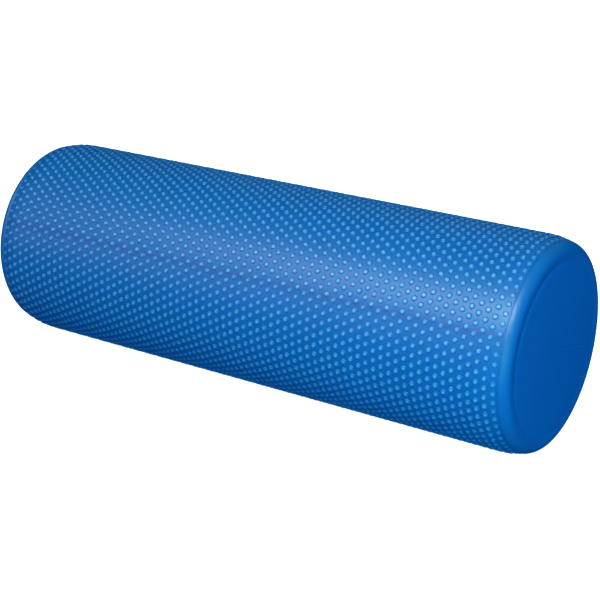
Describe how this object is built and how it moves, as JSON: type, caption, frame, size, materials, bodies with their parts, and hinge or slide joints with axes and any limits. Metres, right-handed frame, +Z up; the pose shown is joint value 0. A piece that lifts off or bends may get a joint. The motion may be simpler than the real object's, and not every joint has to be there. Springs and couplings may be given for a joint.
{
  "type": "foam roller",
  "caption": "Solid foam roller with small round bumps in staggered rows round its side, smooth rolled shoulders and flat ends, for massage and exercise.",
  "frame": {"origin": "on the floor under the middle of the roller as it lies on its side", "axes": "+X along the roller's axis, +Z up, -Y towards the front, where the higher lengthwise seam is"},
  "size_m": [0.45, 0.154, 0.154],
  "materials": {
    "embossed_skin": "satin closed-cell foam skin, embossed with small round bumps",
    "end_disc": "smooth satin closed-cell foam skin",
    "foam_core": "matte cut closed-cell foam"
  },
  "bodies": {
    "root": {"skin_upper_half": "embossed_skin", "skin_lower_half": "embossed_skin", "core_upper_half": "foam_core", "core_lower_half": "foam_core", "end_disc_right": "end_disc", "end_disc_left": "end_disc"}
  },
  "joints": []
}
